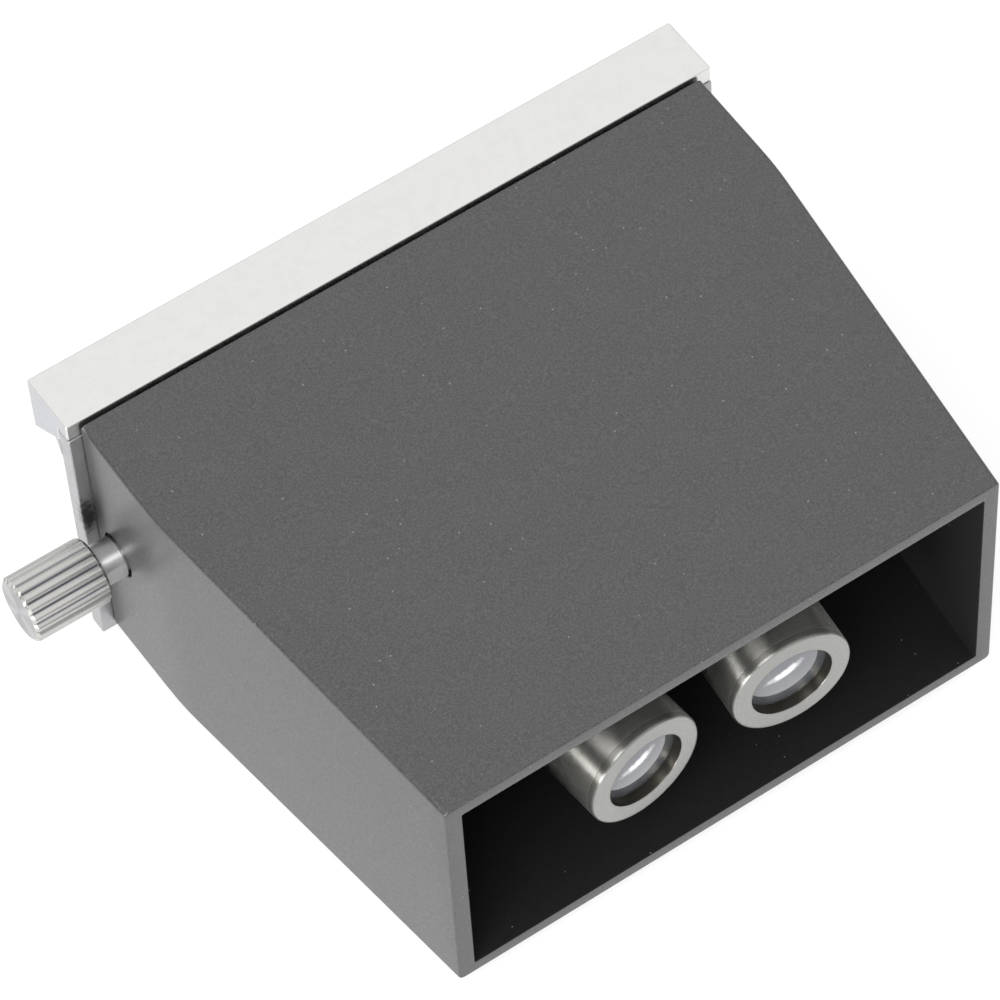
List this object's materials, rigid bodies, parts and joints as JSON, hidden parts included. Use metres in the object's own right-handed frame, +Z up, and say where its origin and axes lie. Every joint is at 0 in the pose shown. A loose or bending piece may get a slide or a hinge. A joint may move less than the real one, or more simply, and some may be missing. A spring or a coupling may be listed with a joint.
{
  "type": "collimator head",
  "caption": "Collimator head: black tapered light hood over toed-in lens tubes, on a bright dovetail mounting plate with a knurled clamp knob.",
  "frame": {"origin": "on the seat face at the back of the mounting plate, midway between the optical axes", "axes": "+Z up, +Y backwards out of the seat face, +X to the right seen from the open front, which faces -Y"},
  "size_m": [0.1131, 0.083, 0.0462],
  "materials": {
    "bar_steel": "satin",
    "plate_metal": "satin",
    "hood_paint": "matte",
    "black_anodised": "matte",
    "turned_steel": "satin",
    "lens_glass": "gloss",
    "knob_nickel": "polished",
    "screw_steel": "satin",
    "spring_steel": "satin",
    "bush_brass": "satin"
  },
  "bodies": {
    "head": {"dovetail_bar": "bar_steel", "mount_plate": "plate_metal", "hood": "hood_paint", "objective_block": "black_anodised", "clamp_housing": "black_anodised", "clamp_cover": "black_anodised", "left_barrel": "turned_steel", "left_lens_cap": "turned_steel", "left_front_lens": "lens_glass", "left_flint_lens": "lens_glass", "left_rear_lens": "lens_glass", "left_lens_retainer": "black_anodised", "left_aperture_stop": "black_anodised", "left_rear_retainer": "black_anodised", "left_tube_grub": "screw_steel", "right_barrel": "turned_steel", "right_lens_cap": "turned_steel", "right_front_lens": "lens_glass", "right_flint_lens": "lens_glass", "right_rear_lens": "lens_glass", "right_lens_retainer": "black_anodised", "right_aperture_stop": "black_anodised", "right_rear_retainer": "black_anodised", "right_tube_grub": "screw_steel", "plunger_bush": "bush_brass", "hood_screw_1": "screw_steel", "hood_screw_2": "screw_steel", "hood_screw_3": "screw_steel", "hood_screw_4": "screw_steel", "block_screw_1": "screw_steel", "block_screw_2": "screw_steel", "block_screw_3": "screw_steel", "block_screw_4": "screw_steel", "housing_screw_1": "screw_steel", "housing_screw_2": "screw_steel", "bar_screw_1": "screw_steel", "bar_screw_2": "screw_steel", "bar_screw_3": "screw_steel", "bar_screw_4": "screw_steel", "clamp_cover_screw_1": "screw_steel", "clamp_cover_screw_2": "screw_steel"},
    "wedge": {"lock_wedge": "screw_steel"},
    "knob_screw": {"clamp_knob": "knob_nickel", "clamp_spindle": "screw_steel"},
    "plunger": {"lock_plunger": "screw_steel", "plunger_spring": "spring_steel"}
  },
  "joints": [
    {"name": "wedge_slide", "type": "slide", "parent": "head", "child": "wedge", "axis": [1, 0, 0], "range_m": [0, 0.00105]},
    {"name": "knob_turn", "type": "hinge", "parent": "wedge", "child": "knob_screw", "pos_m": [-0.0516, -0.0085, 0.00067], "axis": [1, 0, 0], "range_deg": [0, 540]},
    {"name": "plunger_slide", "type": "slide", "parent": "head", "child": "plunger", "axis": [0, 1, 0], "range_m": [0, 0.00106], "deforming": ["plunger_spring"]}
  ],
  "couplings": [
    {"joint": "knob_turn", "follows": "wedge_slide", "rad_per_m": 8975.9},
    {"joint": "plunger_slide", "follows": "wedge_slide", "ratio": 1}
  ]
}
